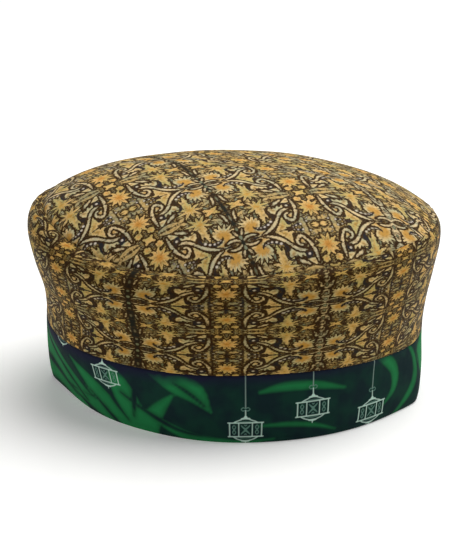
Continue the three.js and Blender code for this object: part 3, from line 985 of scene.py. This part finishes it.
def printed_green(name):
    """Green sweeps and fine pale lanterns printed on woven polyester: matt, darker towards the gold."""
    material, tree, shader = new_material(name, {"Roughness": 0.85, "Specular IOR Level": 0.12})
    cloth = node(tree, "UVMap", uv_map="cloth")
    up = node(tree, "SeparateXYZ", {"Vector": cloth}, out="Y")
    clouds = node(tree, "TexNoise", {"Vector": cloth, "Scale": 1 / CLOUDS, "Detail": 2.0})
    wavering = node(tree, "Math", {0: clouds, 1: CLOUD_LIFT, 2: up}, operation="MULTIPLY_ADD")
    depth = node(tree, "Attribute", out="Fac", attribute_name="green")
    fullness = node(tree, "Math", {0: clouds, 1: CLOUD_DEPTH, 2: depth}, operation="MULTIPLY_ADD")
    ground = inked(tree, "#0C2427", "#0D332A", clouds, 0.4, 0.6)
    green = inked(tree, "#155631", "#1E7B44", fullness, 1.6, 5.4)
    colour = inked(tree, ground, green, depth, -SOFT_EDGE, SOFT_EDGE)
    colour = inked(tree, colour, "#161A30", wavering, DUSK_START, DUSK_FULL)
    for field, ink in (("thread", "#7F958C"), ("ornament", "#5F8576"), ("lantern", "#BFDCCD")):
        drawn = node(tree, "Attribute", out="Fac", attribute_name=field)
        colour = inked(tree, colour, ink, drawn, -FINE_EDGE, FINE_EDGE)
    tree.links.new(colour, shader.inputs["Base Color"])
    add_weave(tree, shader, cloth)
    return material


MOTTLE = 6  # size of the plain cloth's mottle, in millimetres


def plain_cloth(name, colour, shade):
    """Unprinted woven polyester: even and matt, with a faint mottle."""
    material, tree, shader = new_material(name, {"Roughness": 0.85})
    place = node(tree, "TexCoord", out="Object")
    mottle = node(tree, "TexNoise", {"Vector": place, "Scale": 1 / (MOTTLE * MM), "Detail": 4.0})
    tree.links.new(inked(tree, colour, shade, mottle, 0.35, 0.65), shader.inputs["Base Color"])
    return material


CROWN_INK, WALL_INK_AND_SHADE = -0.08, 0.27  # how far the dark ground spreads: more where the print is squeezed, and on the wall also more as painted shade
CROWN_TURN = 22  # degrees by which the crown's print is turned from straight
CROWN_STAR, CROWN_ROW = 16.0, -43.9  # where a column of stars and a row of small stars lie on the crown
SQUEEZE_AIM = 66  # degrees round the crown to the far side, where the print is drawn together
SQUEEZE_START, SQUEEZE_EASE = -8, 14  # where that starts, and how softly, in mm from the middle
SQUEEZE = 1.0  # lengths of print that are drawn in, well beyond the start, for each length of cloth
WALL_STAR = -3.6  # where a column of stars lies round the wall
WALL_STRETCH = 44.2 / TILE_WIDTH  # the wall's columns stand 44.2 mm apart
WALL_TILT = [  # place round the cap, and how far the rows are lifted there
    (-300, 5.0),
    (-150, 4.0),
    (-70, 2.4),
    (-20, 0.2),
    (0, 0.0),
    (60, 0.0),
    (150, 1.0),
    (300, 1.0),
]
WALL_ROWS = [  # height up the wall, and which row of the tile lies there
    (8.6, -6),
    (32.4, -4),
    (44.3, -3),
    (56.5, -2),
    (67.7, -1),
    (80.2, 0),
    (92.0, 1),
    (115.6, 3),
]


def crown_print(x, y):
    """The print on the crown, turned about its middle and drawn together towards the far side."""
    aim_x, aim_y = np.cos(np.radians(SQUEEZE_AIM)), np.sin(np.radians(SQUEEZE_AIM))
    beyond = np.maximum(x * aim_x + y * aim_y - SQUEEZE_START, 0)
    drawn = SQUEEZE * (np.hypot(beyond, SQUEEZE_EASE) - SQUEEZE_EASE)
    x, y = x + drawn * aim_x, y + drawn * aim_y
    across, along = np.cos(np.radians(CROWN_TURN)), np.sin(np.radians(CROWN_TURN))
    return gold_print(x * across + y * along - CROWN_STAR, y * across - x * along - CROWN_ROW, CROWN_INK)


def wall_print(x, y):
    """The print on the wall, where each row of the tile is squeezed to about half its height.

    The rows aren't quite level: WALL_TILT lifts them by place round the cap.
    """
    height, row = np.array(WALL_ROWS).T
    place, lift = np.array(WALL_TILT).T
    tile_y = -np.interp(y - np.interp(x, place, lift), height, row) * TILE_HEIGHT
    return gold_print((x - WALL_STAR) / WALL_STRETCH, tile_y, WALL_INK_AND_SHADE)


PHOTO_WIDTH, FOCAL_LENGTH = 470, 1800  # both in pixels of the photograph
SENSOR_WIDTH = 36
CAMERA_DOWN, CAMERA_ROLL = 18.56, -0.52  # degrees
CAMERA_AIM, CAMERA_DISTANCE = (0.0006, 0, 0.05), 0.9  # in metres, as are the places of the lights
CAMERA_SHIFT = -0.0009, 0.0062


def camera():
    """The photograph's view, from CAMERA_DISTANCE away and CAMERA_DOWN degrees above the level."""
    down, roll = np.radians(CAMERA_DOWN), np.radians(CAMERA_ROLL)
    forward = Vector((0, np.cos(down), -np.sin(down)))
    right, up = Vector((1, 0, 0)), Vector((0, np.sin(down), np.cos(down)))
    side = right * np.cos(roll) + up * np.sin(roll)
    top = up * np.cos(roll) - right * np.sin(roll)
    place = Vector(CAMERA_AIM) - forward * CAMERA_DISTANCE
    data = bpy.data.cameras.new("camera")
    data.sensor_fit = "HORIZONTAL"
    data.lens = SENSOR_WIDTH * FOCAL_LENGTH / PHOTO_WIDTH
    data.shift_x, data.shift_y = CAMERA_SHIFT
    viewer = bpy.data.objects.new("camera", data)
    rows = [(side[i], top[i], -forward[i], place[i]) for i in range(3)]
    viewer.matrix_world = Matrix([*rows, (0, 0, 0, 1)])
    bpy.context.scene.collection.objects.link(viewer)
    bpy.context.scene.camera = viewer


LIGHTS = [
    # name, place, size in metres, power in watts
    ("overhead", (0.6, 0.5, 1.7), 2.2, 55),
    ("left", (-1.7, -0.45, 0.35), 1.2, 6.0),
]
LIGHT_AIM = (0, 0, 0.05)
WORLD_COLOUR, WORLD_STRENGTH = "#F2F2F2", 0.03
FLOOR_REACH, FLOOR_GLOW = 6, 0.28  # the floor glows a little, so that the shadow round the cap stays pale


def studio():
    """Soft round lights that face the cap, and a faint even light from all round."""
    scene = bpy.context.scene
    for name, place, size, power in LIGHTS:
        data = bpy.data.lights.new(name, "AREA")
        data.shape, data.size, data.energy = "DISK", size, power
        lamp = bpy.data.objects.new(name, data)
        lamp.location = place
        lamp.rotation_euler = (Vector(LIGHT_AIM) - Vector(place)).to_track_quat("-Z", "Y").to_euler()
        scene.collection.objects.link(lamp)
    scene.world = bpy.data.worlds.new("studio")
    scene.world.use_nodes = True
    background = scene.world.node_tree.nodes["Background"].inputs
    background["Color"].default_value = linear(WORLD_COLOUR)
    background["Strength"].default_value = WORLD_STRENGTH
    scene.view_settings.view_transform = "Standard"


def floor():
    """A wide pale square that the cap stands on."""
    corners = [(-1, -1), (1, -1), (1, 1), (-1, 1)]
    mesh = bpy.data.meshes.new("floor")
    mesh.from_pydata([(x * FLOOR_REACH, y * FLOOR_REACH, 0) for x, y in corners], [], [(0, 1, 2, 3)])
    paper = plain_cloth("pale_floor", "#F0F0EE", "#EEEEEC")
    glow = paper.node_tree.nodes["Principled BSDF"].inputs
    glow["Emission Color"].default_value = (1, 1, 1, 1)
    glow["Emission Strength"].default_value = FLOOR_GLOW
    mesh.materials.append(paper)
    ground = bpy.data.objects.new("floor", mesh)
    bpy.context.scene.collection.objects.link(ground)


def side_wall_piece(materials):
    """The wall from its join with the band up to the crown's seam, turned in at both ends."""
    angles = 90 + 360 * np.arange(WALL_COLUMNS) / WALL_COLUMNS
    join, seam = wall_length(BAND_TOP), wall_length(SEAM)
    lengths = np.linspace(join + SEAM_GAP / 2, seam - SEAM_GAP / 2, WALL_LINES)
    inner_lengths = np.linspace(lengths[0], lengths[-1], INNER_WALL_LINES)
    depths = roll_in(lengths - join, JOIN_DIP, JOIN_REACH)[:, None]
    depths = depths + roll_in((seam - lengths)[:, None], seam_dip(angles), SEAM_REACH)
    return strip_piece("side_wall_cloth", lengths, depths, angles, inner_lengths, wall_print, materials)


def band_piece(materials):
    """The band from its hem, a half round at the rim, up to its join with the wall."""
    hem_turn = np.radians(np.linspace(-90, 90, HEM_LINES))
    join = wall_length(BAND_TOP)
    plain = np.linspace(HEM_RADIUS, join - SEAM_GAP / 2, BAND_LINES)[1:]
    lengths = np.append(HEM_RADIUS * (1 - np.cos(hem_turn)), plain)
    plain_depths = roll_in(join - plain, JOIN_DIP, JOIN_REACH)
    depths = np.append(HEM_RADIUS * (1 - np.sin(hem_turn)), plain_depths)[:, None]
    inner_lengths = np.linspace(INNER_HEM, plain[-1], INNER_BAND_LINES)
    angles = band_angles(BAND_COLUMNS)
    return strip_piece("band_cloth", lengths, depths, angles, inner_lengths, green_print, materials)


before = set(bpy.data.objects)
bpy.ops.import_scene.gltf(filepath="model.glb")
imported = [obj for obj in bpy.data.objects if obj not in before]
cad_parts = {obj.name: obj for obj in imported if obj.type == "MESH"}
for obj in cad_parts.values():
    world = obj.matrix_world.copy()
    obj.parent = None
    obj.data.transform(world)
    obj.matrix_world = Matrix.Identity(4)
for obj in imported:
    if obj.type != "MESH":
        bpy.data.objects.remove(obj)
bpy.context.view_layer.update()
inside_cloth = plain_cloth("unprinted_polyester_reverse", "#D8CFB8", "#CFC5AC")
crown_gold = printed_gold("printed_woven_polyester_crown_gold", "#FFFFFF")
wall_gold = printed_gold("printed_woven_polyester_wall_gold_painted_shade", "#F0E9D0")  # the same cloth as the crown's, darker and deeper by painted shade
green_cloth = printed_green("printed_woven_polyester_green")

side_wall = side_wall_piece([wall_gold, inside_cloth])
band = band_piece([green_cloth, inside_cloth])
crown = crown_piece("crown_cloth", CROWN_STEPS, crown_print, [crown_gold, inside_cloth])

for piece, cad_node, slot, flat, area in (
    (crown, "crown", "crown_cloth", (0.213, 0.188), 0.0315),
    (side_wall, "side_wall", "wall_cloth", (0.606, 0.056), 0.0330),
    (band, "band", "band_cloth", (0.600, 0.036), 0.0205),
):
    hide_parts(cad_node)
    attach(piece, "root")

camera()
floor()
studio()
